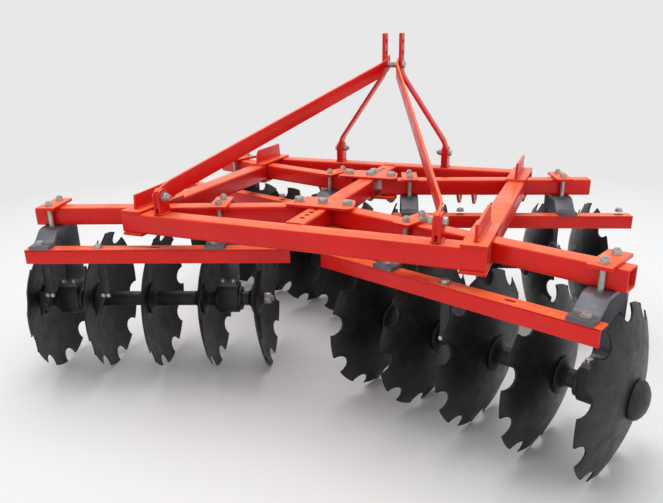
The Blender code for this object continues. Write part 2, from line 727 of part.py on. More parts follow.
def build_gang(name, side, row, angle, pivot_y, end, outer_hub, fitted, turns):
    frame = gang_frame(side, row, angle, pivot_y)
    concave = row
    pivot = (side * PIVOT_X, pivot_y, FRAME_MID_Z)
    hubs = [outer_hub - k * DISC_PITCH for k in range(DISCS_PER_GANG)]
    hangers = ((hubs[0] + hubs[1]) / 2, (hubs[3] + hubs[4]) / 2)
    stations = [hub + concave * STATION_FROM_HUB for hub in hubs]
    build_beam(name + "_beam", frame, end, pivot)
    for place, s in zip(("outer", "inner"), hangers):
        build_hanger(f"{name}_{place}_hanger", frame, s, pivot)
        build_clamp(f"{name}_{place}_clamp", frame, s, pivot)
    build_scraper_bar(
        name + "_scraper_bar",
        frame,
        stations[-1] - 0.066,
        stations[0] + 0.052,
        stations,
        fitted,
        hubs,
        concave,
        pivot,
    )
    origin = frame @ Vector((hubs[2], AXLE_FORWARD, DISC_RADIUS))
    build_axle(name + "_axle", frame, hubs, concave, origin)
    for k, s in enumerate(hubs):
        mesh = disc_mesh(frame, s, concave, turns[k])
        place = frame @ Vector((s, AXLE_FORWARD, DISC_RADIUS))
        node(f"{name}_disc_{k + 1}", mesh, DISC_PAINT, place)


build_crossbars()
build_side_rail("left_side_rail", -1)
build_side_rail("right_side_rail", 1)
build_centre_rail()
build_centre_plates("rear_centre_plates", REAR_PIVOT_Y)
build_centre_plates("front_centre_plates", FRONT_PIVOT_Y)
build_mast()
for gang in GANGS:
    build_gang(*gang)
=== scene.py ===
"""The mounted disc harrow's looks: detailed pieces, materials, floor, lights and camera."""

import math
import random

import bmesh
import bpy
from mathutils import Matrix, Vector


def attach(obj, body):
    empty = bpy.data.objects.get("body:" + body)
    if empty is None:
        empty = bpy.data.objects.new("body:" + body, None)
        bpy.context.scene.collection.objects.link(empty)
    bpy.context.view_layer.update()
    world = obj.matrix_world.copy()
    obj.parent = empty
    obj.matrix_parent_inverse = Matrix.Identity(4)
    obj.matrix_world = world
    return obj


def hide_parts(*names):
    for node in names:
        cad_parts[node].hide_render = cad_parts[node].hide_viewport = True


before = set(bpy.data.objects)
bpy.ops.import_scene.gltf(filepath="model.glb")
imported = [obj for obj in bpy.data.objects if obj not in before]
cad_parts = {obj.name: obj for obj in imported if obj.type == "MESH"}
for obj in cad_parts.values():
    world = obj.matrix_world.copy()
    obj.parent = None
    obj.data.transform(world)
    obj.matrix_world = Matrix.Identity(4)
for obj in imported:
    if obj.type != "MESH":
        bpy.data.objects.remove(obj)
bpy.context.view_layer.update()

# ---- camera ----
CAMERA_AT = (0.939, -2.4492, 1.2936)
CAMERA_YAW = 0.3971
CAMERA_PITCH = -0.3494
CAMERA_ROLL = -0.0200
LENS_MM = 34.42
SHIFT = (0.0018, 0.0262)

# ---- light and floor ----
BACKGROUND = 0.807
FLOOR_ALBEDO = 0.80
SUN_FROM = (-0.20, 0.30, 1.0)
SUN_STRENGTH = 1.45
SUN_SOFT = math.radians(50)
SKY_STRENGTH = 0.78

# ---- sizes of the CAD part, in metres ----
Y0 = 0.0062
DISC_R = 0.280
DISC_PITCH = 0.2225
DISC_DISH = 0.058
DISC_THICK = 0.006
DISC_FLAT = 0.068
NOTCHES = 10
HALF_WIDTH = 0.680
REAR_Y = -0.621
FRONT_Y = 0.655
MID_Z = 0.652
TALL = 0.076
DEEP = 0.080
WALL = 0.006
BEAM = 0.070
PIVOT_X = 0.100
BEAM_BACK = 0.042
PLATE = 0.010
TOP_Z = MID_Z + TALL / 2
LOW_Z = MID_Z - TALL / 2
REAR_MID = REAR_Y + DEEP / 2
FRONT_MID = FRONT_Y - DEEP / 2
AXLE_FWD = 0.0245
BAR_REAR = 0.180
BAR_LEG = 0.055
BAR_TOP = 0.561
SEAT_GAP = 0.0003
HANGER_THICK = 0.014
SEAT_Z = MID_Z - BEAM / 2 - SEAT_GAP - HANGER_THICK / 2
PLATE_GAP = 0.0005
RAIL_X = HALF_WIDTH - 0.042
REAR_PIVOT_Y = -0.276
FRONT_PIVOT_Y = 0.282

BRACE_FOOT_X = 0.520
BRACE_THICK = 0.010
BRACE_BOLT_Z = 0.756
MAST_FOOT_X = 0.272
MAST_TOP_X = 0.041
MAST_TOP_Z = 1.309
MAST_THICK = 0.012
MAST_BOLT_Z = 1.168
MAST_FOOT_BOLT_Z = 0.758
TOP_LINK_Z = (1.221, 1.272)
LUG_THICK = 0.009
FOOT_BOLT = 0.018
FOOT_NUT_X = 0.0144
MAST_NUT_X = 0.0154
HITCH_X = 0.375
HITCH_HALF_GAP = 0.037
HITCH_HOLE_Z = 0.532
HITCH_NOSE = 0.036
BAR_SLOT_Y = -0.150
BAR_BOLT_Y = -0.152
BAR_BOLT = 0.0165

# name, side (+1 right), row (-1 rear, +1 front), angle, pivot y, beam end, outer hub, fitted scrapers
GANGS = (
    ("rear_left", -1, -1, 20.0, REAR_PIVOT_Y, 1.040, 1.086, (1, 2)),
    ("rear_right", 1, -1, 20.0, REAR_PIVOT_Y, 1.040, 1.086, (3,)),
    ("front_left", -1, 1, 18.0, FRONT_PIVOT_Y, 0.874, 0.861, ()),
    ("front_right", 1, 1, 18.0, FRONT_PIVOT_Y, 0.874, 0.861, ()),
)
# half profiles of the axle's turned pieces, as (distance from the disc, radius)
SPOOL_FLARE = [
    (0.0, 0), (0.0, 0.060), (0.002, 0.062), (0.007, 0.062),
    (0.010, 0.059), (0.013, 0.046), (0.019, 0.036), (0.028, 0.030),
]
DOME = [
    (0.0, 0), (0.0, 0.061), (0.003, 0.0635), (0.012, 0.0630), (0.020, 0.059),
    (0.029, 0.048), (0.036, 0.034), (0.040, 0.016), (0.0405, 0.0),
]
CONE = [
    (0.0, 0), (0.0, 0.058), (0.002, 0.0595), (0.008, 0.0595), (0.011, 0.057),
    (0.024, 0.036), (0.029, 0.031), (0.032, 0.030), (0.032, 0.0),
]
# what holds each scraper station, outer first: t tongue of a hanger, b loose bolt, s scraper, - empty slot
STATIONS = {"rear_left": "tb-t-", "rear_right": "t-st-", "front_left": "t--t-", "front_right": "t--t-"}
# turn of each disc in degrees, outer first
TURNS = {
    "rear_left": (18.0, 22.0, 0.0, 23.0, 19.0),
    "rear_right": (19.0, 19.0, 19.0, 5.0, 26.0),
    "front_left": (20.0, 7.0, 18.0, 30.0, 2.0),
    "front_right": (20.0, 5.0, 29.0, 9.0, 22.0),
}


# ---- materials ----
def new_material(name):
    made = bpy.data.materials.new(name)
    made.use_nodes = True
    tree = made.node_tree
    return made, tree, tree.nodes["Principled BSDF"]


def noise(tree, scale, detail=4.0, rough=0.55, stretch=None):
    place = tree.nodes.new("ShaderNodeTexCoord")
    made = tree.nodes.new("ShaderNodeTexNoise")
    made.inputs["Scale"].default_value = scale
    made.inputs["Detail"].default_value = detail
    made.inputs["Roughness"].default_value = rough
    source = place.outputs["Object"]
    if stretch:
        mapping = tree.nodes.new("ShaderNodeMapping")
        mapping.inputs["Scale"].default_value = stretch
        tree.links.new(source, mapping.inputs["Vector"])
        source = mapping.outputs["Vector"]
    tree.links.new(source, made.inputs["Vector"])
    return made.outputs["Fac"]


def ramp(tree, value, stops):
    made = tree.nodes.new("ShaderNodeValToRGB")
    elements = made.color_ramp.elements
    while len(elements) < len(stops):
        elements.new(0.5)
    for element, (place, colour) in zip(elements, stops):
        element.position = place
        element.color = (*colour, 1.0)
    tree.links.new(value, made.inputs["Fac"])
    return made.outputs["Color"]


def grey(value):
    return (value, value, value)


def mix(tree, factor, first, second):
    made = tree.nodes.new("ShaderNodeMix")
    made.data_type = "RGBA"
    sockets = [s for s in made.inputs if s.name in ("Factor", "A", "B") and s.enabled]
    for socket, value in zip(sockets, (factor, first, second)):
        if isinstance(value, tuple):
            socket.default_value = (*value, 1.0)
        else:
            tree.links.new(value, socket)
    return [s for s in made.outputs if s.enabled][0]


def facing_up(tree):
    """0 on walls and undersides, 1 on faces that look straight up."""
    geometry = tree.nodes.new("ShaderNodeNewGeometry")
    split = tree.nodes.new("ShaderNodeSeparateXYZ")
    tree.links.new(geometry.outputs["Normal"], split.inputs["Vector"])
    return ramp(tree, split.outputs["Z"], [(0.55, grey(0)), (0.95, grey(1))])


def bump(tree, shader, heights):
    """Chains (height, strength, distance) bumps."""
    last = None
    for height, strength, distance in heights:
        made = tree.nodes.new("ShaderNodeBump")
        made.inputs["Strength"].default_value = strength
        made.inputs["Distance"].default_value = distance
        tree.links.new(height, made.inputs["Height"])
        if last:
            tree.links.new(last, made.inputs["Normal"])
        last = made.outputs["Normal"]
    tree.links.new(last, shader.inputs["Normal"])


def red_paint(name):
    """Sprayed gloss paint: slow drift, painted sunlight that makes upward faces lighter and more orange,
    dusty bloom, orange peel and a few chips to primer.
    """
    made, tree, shader = new_material(name)
    body = ramp(tree, noise(tree, 4.0, 3.0), [(0.35, (0.66, 0.006, 0.004)), (0.68, (0.78, 0.012, 0.006))])
    drift = noise(tree, 7.0, 5.0, 0.65, (1.0, 1.0, 0.2))
    # painted sunlight: faces that look up are mixed towards a lighter orange, as if lit from above
    painted_sunlit_top = ramp(tree, drift, [(0.3, (0.97, 0.100, 0.022)), (0.75, (1.0, 0.200, 0.055))])
    colour = mix(tree, facing_up(tree), body, painted_sunlit_top)
    dust = ramp(tree, noise(tree, 38.0, 9.0, 0.72), [(0.60, grey(0)), (0.80, grey(0.22))])
    colour = mix(tree, dust, colour, (0.80, 0.22, 0.13))
    chips = ramp(tree, noise(tree, 95.0, 6.0, 0.6), [(0.735, grey(0)), (0.75, grey(1))])
    colour = mix(tree, chips, colour, (0.18, 0.035, 0.028))
    tree.links.new(colour, shader.inputs["Base Color"])
    rough = ramp(tree, noise(tree, 17.0, 7.0), [(0.3, grey(0.24)), (0.72, grey(0.44))])
    tree.links.new(rough, shader.inputs["Roughness"])
    shader.inputs["Specular IOR Level"].default_value = 0.28
    shader.inputs["Coat Weight"].default_value = 0.12
    shader.inputs["Coat Roughness"].default_value = 0.22
    peel = (noise(tree, 230.0, 2.0), 0.10, 0.0008)
    waves = (noise(tree, 21.0, 4.0), 0.10, 0.003)
    bump(tree, shader, [peel, waves, (chips, -0.3, 0.0003)])
    return made


def disc_black():
    """Thin black paint over rolled steel: dusty bloom and scratches across."""
    made, tree, shader = new_material("disc_black")
    stops = [(0.3, (0.005, 0.005, 0.006)), (0.7, (0.014, 0.0135, 0.014))]
    base = ramp(tree, noise(tree, 5.0, 4.0, 0.6), stops)
    dust = ramp(tree, noise(tree, 16.0, 9.0, 0.7), [(0.46, grey(0)), (0.84, grey(0.45))])
    colour = mix(tree, dust, base, (0.060, 0.055, 0.050))
    scratch = ramp(tree, noise(tree, 14.0, 8.0, 0.6, (3.0, 0.6, 14.0)), [(0.62, grey(0)), (0.70, grey(0.6))])
    colour = mix(tree, scratch, colour, (0.070, 0.066, 0.062))
    tree.links.new(colour, shader.inputs["Base Color"])
    rough = ramp(tree, noise(tree, 22.0, 8.0, 0.65), [(0.3, grey(0.34)), (0.75, grey(0.60))])
    tree.links.new(rough, shader.inputs["Roughness"])
    shader.inputs["Specular IOR Level"].default_value = 0.32
    grain = (noise(tree, 60.0, 6.0), 0.12, 0.0010)
    waves = (noise(tree, 6.0, 2.0), 0.25, 0.0030)
    bump(tree, shader, [grain, waves, (scratch, 0.15, 0.0003)])
    return made


def cast_black():
    made, tree, shader = new_material("black_castings")
    base = ramp(tree, noise(tree, 12.0, 5.0), [(0.3, (0.009, 0.009, 0.010)), (0.7, (0.022, 0.021, 0.021))])
    dust = ramp(tree, noise(tree, 34.0, 8.0, 0.7), [(0.52, grey(0)), (0.85, grey(0.5))])
    tree.links.new(mix(tree, dust, base, (0.080, 0.070, 0.060)), shader.inputs["Base Color"])
    rough = ramp(tree, noise(tree, 25.0, 6.0), [(0.3, grey(0.38)), (0.7, grey(0.62))])
    tree.links.new(rough, shader.inputs["Roughness"])
    bump(tree, shader, [(noise(tree, 170.0, 5.0, 0.6), 0.35, 0.0009), (noise(tree, 30.0, 3.0), 0.2, 0.002)])
    return made


def dark_steel():
    """Mill-scale plate with a thin grey wash, light rubs and dull blotches."""
    made, tree, shader = new_material("dark_steel")
    stops = [(0.3, (0.085, 0.090, 0.105)), (0.7, (0.170, 0.178, 0.200))]
    base = ramp(tree, noise(tree, 9.0, 6.0, 0.6), stops)
    rub = ramp(tree, noise(tree, 30.0, 9.0, 0.75, (1.0, 3.0, 1.0)), [(0.60, grey(0)), (0.74, grey(0.8))])
    tree.links.new(mix(tree, rub, base, (0.34, 0.35, 0.38)), shader.inputs["Base Color"])
    shader.inputs["Metallic"].default_value = 0.35
    rough = ramp(tree, noise(tree, 18.0, 7.0), [(0.3, grey(0.32)), (0.7, grey(0.55))])
    tree.links.new(rough, shader.inputs["Roughness"])
    bump(tree, shader, [(noise(tree, 120.0, 5.0), 0.2, 0.0007), (rub, 0.2, 0.0003)])
    return made


def zinc_plate():
    made, tree, shader = new_material("zinc_plate")
    stops = [(0.25, (0.30, 0.29, 0.26)), (0.6, (0.55, 0.55, 0.53)), (0.85, (0.68, 0.68, 0.67))]
    base = ramp(tree, noise(tree, 45.0, 6.0, 0.6), stops)
    tree.links.new(base, shader.inputs["Base Color"])
    shader.inputs["Metallic"].default_value = 0.85
    rough = ramp(tree, noise(tree, 60.0, 6.0), [(0.3, grey(0.28)), (0.75, grey(0.55))])
    tree.links.new(rough, shader.inputs["Roughness"])
    bump(tree, shader, [(noise(tree, 300.0, 4.0), 0.15, 0.0004)])
    return made


RED = red_paint("red_paint")
GANG_RED = red_paint("gang_red_paint")
DISC = disc_black()
CAST = cast_black()
DARK = dark_steel()
ZINC = zinc_plate()


# ---- shapes: each returns a mesh ----
def settle(work, matrix=None):
    if matrix is not None:
        bmesh.ops.transform(work, matrix=matrix, verts=work.verts)
    bmesh.ops.remove_doubles(work, verts=work.verts, dist=2e-6)
    bmesh.ops.recalc_face_normals(work, faces=work.faces)
    if work.calc_volume(signed=True) < 0:
        bmesh.ops.reverse_faces(work, faces=work.faces)
    mesh = bpy.data.meshes.new("shape")
    work.to_mesh(mesh)
    work.free()
    return mesh


def area_of(points):
    return sum(a[0] * b[1] - b[0] * a[1] for a, b in zip(points, [*points[1:], points[0]])) / 2


def inset(points, by):
    """The outline drawn in by this much, so that a rounded edge ends on the outline itself."""
    made = []
    for k, place in enumerate(points):
        here = Vector(place)
        before = (here - Vector(points[k - 1])).normalized()
        after = (Vector(points[(k + 1) % len(points)]) - here).normalized()
        normal = (Vector((-before.y, before.x)) + Vector((-after.y, after.x))).normalized()
        lean = max(0.35, normal.dot(Vector((-after.y, after.x))))
        made.append(tuple(here + normal * by / lean))
    return made


def flat(outlines, depth, matrix, edge=0.0010):
    """A filled outline with holes, extruded both ways from its plane, its edges rounded."""
    curve = bpy.data.curves.new("outline", "CURVE")
    curve.dimensions = "2D"
    curve.fill_mode = "BOTH"
    curve.extrude = depth / 2 - edge
    curve.bevel_depth = edge
    curve.bevel_resolution = 1
    for index, outline in enumerate(outlines):
        turned_right = area_of(outline) > 0
        if turned_right != (index == 0):
            outline = outline[::-1]
        spline = curve.splines.new("POLY")
        spline.points.add(len(outline) - 1)
        for point, place in zip(spline.points, inset(outline, edge)):
            point.co = (place[0], place[1], 0.0, 1.0)
        spline.use_cyclic_u = True
    holder = bpy.data.objects.new("outline", curve)
    bpy.context.scene.collection.objects.link(holder)
    graph = bpy.context.evaluated_depsgraph_get()
    mesh = bpy.data.meshes.new_from_object(holder.evaluated_get(graph))
    bpy.data.objects.remove(holder, do_unlink=True)
    bpy.data.curves.remove(curve)
    work = bmesh.new()
    work.from_mesh(mesh)
    return settle(work, matrix)


def block(low, high, matrix=None, edge=0.0015):
    work = bmesh.new()
    bmesh.ops.create_cube(work, size=1.0)
    bmesh.ops.scale(work, vec=[b - a for a, b in zip(low, high)], verts=work.verts)
    bmesh.ops.translate(work, vec=[(a + b) / 2 for a, b in zip(low, high)], verts=work.verts)
    bmesh.ops.bevel(work, geom=work.edges[:], offset=edge, segments=2, profile=0.5, affect="EDGES")
    return settle(work, matrix)


def turned(profile, sides, matrix):
    """(x, radius) points turned about local X; the first and last lie on the axis."""
    work = bmesh.new()
    verts = [work.verts.new((x, 0, radius)) for x, radius in profile]
    edges = [work.edges.new(pair) for pair in zip(verts, verts[1:])]
    bmesh.ops.spin(
        work,
        geom=verts + edges,
        cent=(0, 0, 0),
        axis=(1, 0, 0),
        angle=2 * math.pi,
        steps=sides,
        use_merge=True,
    )
    bmesh.ops.remove_doubles(work, verts=work.verts, dist=2e-6)
    return settle(work, matrix)


def standing(at, up=(0, 0, 1)):
    """Local X along the given direction, from the given place."""
    turn = Vector(up).to_track_quat("X", "Z").to_matrix().to_4x4()
    return Matrix.Translation(at) @ turn


def rod(start, end, radius, sides=24, edge=0.0006):
    length = (Vector(end) - Vector(start)).length
    start_end = [(0, 0), (0, radius - edge), (edge, radius)]
    profile = start_end + [(length - edge, radius), (length, radius - edge), (length, 0)]
    return turned(profile, sides, standing(start, Vector(end) - Vector(start)))


def thread(start, end, radius, pitch=0.0022, sides=18):
    length = (Vector(end) - Vector(start)).length
    count = max(2, int(length / pitch))
    profile = [(0, 0), (0, radius - 0.0012)]
    for k in range(count):
        profile.append(((k + 0.5) * length / count, radius))
        profile.append(((k + 1.0) * length / count, radius - 0.0011))
    profile.append((length, 0))
    return turned(profile, sides, standing(start, Vector(end) - Vector(start)))


def hexagon(at, up, flats, height, turn=0.0):
    """A hexagon nut or bolt head standing on its place, its outer corners chamfered."""
    corner = flats / math.sqrt(3)
    work = bmesh.new()
    angles = [k * math.pi / 3 + turn for k in range(6)]
    low = [work.verts.new((0, corner * math.cos(a), corner * math.sin(a))) for a in angles]
    face = work.faces.new(low)
    made = bmesh.ops.extrude_face_region(work, geom=[face])
    lifted = [v for v in made["geom"] if isinstance(v, bmesh.types.BMVert)]
    bmesh.ops.translate(work, vec=(height, 0, 0), verts=lifted)
    bmesh.ops.recalc_face_normals(work, faces=work.faces)
    rim = [e for e in work.edges if all(v.co.x > height - 1e-6 for v in e.verts)]
    bmesh.ops.bevel(work, geom=rim, offset=height * 0.12, segments=1, affect="EDGES")
    upright = [e for e in work.edges if abs(e.verts[0].co.x - e.verts[1].co.x) > height * 0.5]
    bmesh.ops.bevel(work, geom=upright, offset=0.0008, segments=1, affect="EDGES")
    return settle(work, standing(at, up))


def washer(at, up, radius, thick=0.003):
    return rod(at, Vector(at) + Vector(up) * thick, radius, 28, 0.0005)


def bolt_head(at, up=(0, 0, 1), size=0.020, seat=True, turn=0.3):
    """Washer and hexagon head for a bolt of this shank diameter."""
    up = Vector(up).normalized()
    made = []
    if seat:
        made.append(washer(at, up, size * 1.05))
    made.append(hexagon(Vector(at) + up * (0.003 if seat else 0.0), up, size * 1.5, size * 0.62, turn))
    return made


def nut_on_end(at, up, size=0.020, proud=0.010, turn=0.1):
    up = Vector(up).normalized()
    at = Vector(at)
    made = [washer(at, up, size * 1.05), hexagon(at + up * 0.003, up, size * 1.5, size * 0.8, turn)]
    made.append(thread(at + up * 0.002, at + up * (0.003 + size * 0.8 + proud), size / 2))
    return made


def bead(points, radius=0.0042, seed=1):
    """A weld run along the points: a fine rippled roll, half sunk into the seam."""
    spots = []
    dice = random.Random(seed)
    for start, end in zip(points, points[1:]):
        start, end = Vector(start), Vector(end)
        steps = max(2, int((end - start).length / 0.0036))
        spots += [start.lerp(end, k / steps) for k in range(steps)]
    spots.append(Vector(points[-1]))
    work = bmesh.new()
    rings = []
    for k, spot in enumerate(spots):
        along = (spots[min(k + 1, len(spots) - 1)] - spots[max(k - 1, 0)]).normalized()
        side = along.orthogonal().normalized()
        other = along.cross(side)
        swell = radius * (1.0 + 0.16 * (k % 2) + dice.uniform(-0.10, 0.10))
        if k in (0, len(spots) - 1):
            swell *= 0.5
        spokes = [side * math.cos(j * math.pi / 4) + other * math.sin(j * math.pi / 4) for j in range(8)]
        rings.append([work.verts.new(spot + spoke * swell) for spoke in spokes])
    for first, second in zip(rings, rings[1:]):
        for j in range(8):
            work.faces.new((first[j], first[(j + 1) % 8], second[(j + 1) % 8], second[j]))
    work.faces.new(rings[0])
    work.faces.new(rings[-1])
    return settle(work)


# ---- outlines ----
def rounded(wide, tall, radius, steps=5):
    points = []
    for sx, sy, start in ((1, 1, 0), (-1, 1, 90), (-1, -1, 180), (1, -1, 270)):
        for k in range(steps + 1):
            angle = math.radians(start + 90 * k / steps)
            x = sx * (wide / 2 - radius) + radius * math.cos(angle)
            y = sy * (tall / 2 - radius) + radius * math.sin(angle)
            points.append((x, y))
    return points


def circle(x, y, radius, sides=28):
    angles = [2 * math.pi * k / sides for k in range(sides)]
    return [(x + radius * math.cos(a), y + radius * math.sin(a)) for a in angles]


def soften(points, radius, steps=4):
    """The outline with every corner rounded."""
    made = []
    count = len(points)
    for k, place in enumerate(points):
        here = Vector(place)
        before = Vector(points[k - 1]) - here
        after = Vector(points[(k + 1) % count]) - here
        reach = min(radius, before.length * 0.45, after.length * 0.45)
        start = here + before.normalized() * reach
        end = here + after.normalized() * reach
        for j in range(steps + 1):
            t = j / steps
            made.append(tuple(start * (1 - t) ** 2 + here * 2 * t * (1 - t) + end * t**2))
    return made


def bent(points, radius, steps=5):
    """The open line with its inner corners rounded."""
    made = [tuple(points[0])]
    for before, place, after in zip(points, points[1:], points[2:]):
        here = Vector(place)
        a = Vector(before) - here
        b = Vector(after) - here
        reach = min(radius, a.length * 0.48, b.length * 0.48)
        start = here + a.normalized() * reach
        end = here + b.normalized() * reach
        for j in range(steps + 1):
            t = j / steps
            made.append(tuple(start * (1 - t) ** 2 + here * 2 * t * (1 - t) + end * t**2))
    made.append(tuple(points[-1]))
    return made


def strip(points, thick):
    """The outline of a bent flat bar whose middle line runs through the points."""
    left, right = [], []
    last = len(points) - 1
    for k, place in enumerate(points):
        here = Vector(place)
        before = (here - Vector(points[k - 1])).normalized() if k else None
        after = (Vector(points[k + 1]) - here).normalized() if k < last else None
        along = ((before or after) + (after or before)).normalized()
        across = Vector((-along.y, along.x))
        lean = across.dot(Vector((-(after or before).y, (after or before).x)))
        step = across * (thick / 2 / lean)
        left.append(tuple(here + step))
        right.append(tuple(here - step))
    return left + right[::-1]


def plane(x_axis, y_axis, place):
    x_axis, y_axis = Vector(x_axis), Vector(y_axis)
    turn = Matrix((x_axis, y_axis, x_axis.cross(y_axis))).transposed().to_4x4()
    return Matrix.Translation(place) @ turn


def side_view(x, y=0.0, z=0.0):
    return plane((0, 1, 0), (0, 0, 1), (x, y, z))


def rear_view(y, x=0.0, z=0.0):
    return plane((1, 0, 0), (0, 0, 1), (x, y, z))


def top_view(z, x=0.0, y=0.0):
    return plane((1, 0, 0), (0, 1, 0), (x, y, z))


def piece(name, body, shapes, nodes=(), matrix=None):
    """Joins (shape, material) pairs into one object in the row frame, riding on its body."""
    matrix = Matrix.Translation((0.0, Y0, 0.0)) @ (matrix or Matrix.Identity(4))
    flip = matrix.determinant() < 0
    work = bmesh.new()
    finishes = []
    for mesh, finish in shapes:
        if finish not in finishes:
            finishes.append(finish)
        index = finishes.index(finish)
        start = len(work.faces)
        work.from_mesh(mesh)
        work.faces.ensure_lookup_table()
        for face in work.faces[start:]:
            face.material_index = index
        bpy.data.meshes.remove(mesh)
    bmesh.ops.transform(work, matrix=matrix, verts=work.verts)
    if flip:
        bmesh.ops.reverse_faces(work, faces=work.faces)
    for face in work.faces:
        face.smooth = True
    mesh = bpy.data.meshes.new(name)
    work.to_mesh(mesh)
    work.free()
    mesh.set_sharp_from_angle(angle=math.radians(32))
    for finish in finishes:
        mesh.materials.append(finish)
    obj = bpy.data.objects.new(name, mesh)
    bpy.context.scene.collection.objects.link(obj)
    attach(obj, body)
    if nodes:
        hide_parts(*nodes)
    return obj


def of(finish, *shapes):
    made = []
    for shape in shapes:
        made += [(each, finish) for each in shape] if isinstance(shape, list) else [(shape, finish)]
    return made


TUBE = [rounded(DEEP, TALL, 0.011), rounded(DEEP - 2 * WALL, TALL - 2 * WALL, 0.006)]


# ---- main frame ----
def lug_pair(x, y, gap, thick, wide, z_low, z_high):
    """Two round-topped lugs across a gap, welded down to the top of a crossbar."""
    arc = [math.pi * k / 14 for k in range(15)]
    outline = [(-wide / 2, z_low), (wide / 2, z_low)]
    outline += [(wide / 2 * math.cos(a), z_high - wide / 2 + wide / 2 * math.sin(a)) for a in arc]
    offset = (gap + thick) / 2
    seam_z = TOP_Z + 0.001
    made = []
    for side in (-1, 1):
        made.append(flat([outline], thick, side_view(x + side * offset, y)))
        edge_x = x + side * (offset + thick / 2)
        for along in (-1, 1):
            end = y + along * wide / 2
            seam = [(x - offset - thick / 2, end, seam_z), (x + offset + thick / 2, end, seam_z)]
            made.append(bead(seam, 0.0038))
        made.append(bead([(edge_x, y - wide / 2, seam_z), (edge_x, y + wide / 2, seam_z)], 0.0040))
    return made


def crossbars():
    """Both crossbars: the rear one with the brace lugs, the front one with the mast lugs and hitch cheeks."""
    rear = [flat(TUBE, 2 * HALF_WIDTH, side_view(0.0, REAR_MID, MID_Z), 0.0012)]
    for side in (-1, 1):
        x = side * BRACE_FOOT_X
        rear += lug_pair(x, REAR_MID, 0.0106, LUG_THICK, 0.060, TOP_Z - 0.003, 0.786)
    piece("rear_crossbar_skin", "frame", of(RED, rear), ["rear_crossbar"])
    front = [flat(TUBE, 2 * HALF_WIDTH, side_view(0.0, FRONT_MID, MID_Z), 0.0012)]
    for side in (-1, 1):
        x = side * MAST_FOOT_X
        front += lug_pair(x, FRONT_MID, 0.0126, LUG_THICK, 0.058, TOP_Z - 0.003, 0.790)
        for half in (-1, 1):
            x = side * HITCH_X + half * HITCH_HALF_GAP
            outline = [(-0.100, LOW_Z + 0.003), (-0.092, LOW_Z - 0.028), (-0.034, 0.516)]
            arc = [math.radians(205 + 155 * k / 12) for k in range(13)]
            outline += [(HITCH_NOSE * math.cos(a), HITCH_HOLE_Z + HITCH_NOSE * math.sin(a)) for a in arc]
            outline += [(HITCH_NOSE, LOW_Z - 0.022), (-0.004, LOW_Z + 0.003)]
            y = FRONT_Y + 0.032
            front.append(flat([outline, circle(0.0, HITCH_HOLE_Z, 0.0145)], 0.012, side_view(x, y)))
            for face in (-1, 1):
                edge_x = x + face * 0.006
                front.append(bead([(edge_x, y - 0.098, LOW_Z), (edge_x, y - 0.034, LOW_Z)], 0.0036))
    piece("front_crossbar_skin", "frame", of(RED, front), ["front_crossbar"])


def side_rails():
    """Each side rail with its four corner plates, its two upright fins and their welds."""
    for name, side in (("left", -1), ("right", 1)):
        x = side * RAIL_X
        rear_end = REAR_Y + DEEP + 0.134
        front_end = FRONT_Y - DEEP - 0.182
        middle = (rear_end + front_end) / 2
        made = [flat(TUBE, front_end - rear_end, rear_view(middle, x, MID_Z), 0.0012)]
        spans = ((REAR_Y, REAR_Y + 0.290), (FRONT_Y - 0.290, FRONT_Y))
        seed = 3
        for low_y, high_y in spans:
            left, right = x - 0.042, x + 0.042
            made.append(block((left, low_y, TOP_Z + SEAT_GAP), (right, high_y, TOP_Z + PLATE), None, 0.0012))
            made.append(block((left, low_y, LOW_Z - PLATE), (right, high_y, LOW_Z - SEAT_GAP), None, 0.0012))
            bar_y = low_y + DEEP if low_y < 0 else high_y - DEEP
            for z in (TOP_Z + 0.0015, LOW_Z - 0.0015):
                made.append(bead([(x - 0.040, bar_y, z), (x + 0.040, bar_y, z)], 0.0038, seed))
                seed += 1
            rail_y = (rear_end + 0.004, high_y) if low_y < 0 else (low_y, front_end - 0.004)
            for edge_x in (x - 0.0385, x + 0.0385):
                for z in (TOP_Z - 0.001, LOW_Z + 0.001):
                    made.append(bead([(edge_x, rail_y[0], z), (edge_x, rail_y[1], z)], 0.0036, seed))
                    seed += 1
            end_y = high_y if low_y < 0 else low_y
            seam = [(x - 0.038, end_y, TOP_Z + 0.001), (x + 0.038, end_y, TOP_Z + 0.001)]
            made.append(bead(seam, 0.0036, seed))
        base = TOP_Z + PLATE - 0.002
        tall = 0.064
        rear_fin = [
            (REAR_Y + 0.030, base),
            (REAR_Y + 0.038, base + 0.002 + tall * 0.84),
            (REAR_Y + 0.262, base + 0.002 + tall),
            (REAR_Y + 0.282, base + 0.002 + tall * 0.62),
            (REAR_Y + 0.286, base),
        ]
        front_fin = [
            (FRONT_Y - 0.286, base),
            (FRONT_Y - 0.282, base + 0.002 + tall * 0.62),
            (FRONT_Y - 0.262, base + 0.002 + tall),
            (FRONT_Y - 0.038, base + 0.002 + tall),
            (FRONT_Y - 0.030, base),
        ]
        for fin in (rear_fin, front_fin):
            made.append(flat([fin], 0.010, side_view(x), 0.0012))
            for edge_x in (x - 0.0055, x + 0.0055):
                ends = (fin[0][0] + 0.006, fin[-1][0] - 0.006)
                seam = [(edge_x, end, TOP_Z + PLATE + 0.001) for end in ends]
                made.append(bead(seam, 0.0036, seed))
                seed += 1
        piece(name + "_side_rail_skin", "frame", of(RED, made), [name + "_side_rail"])


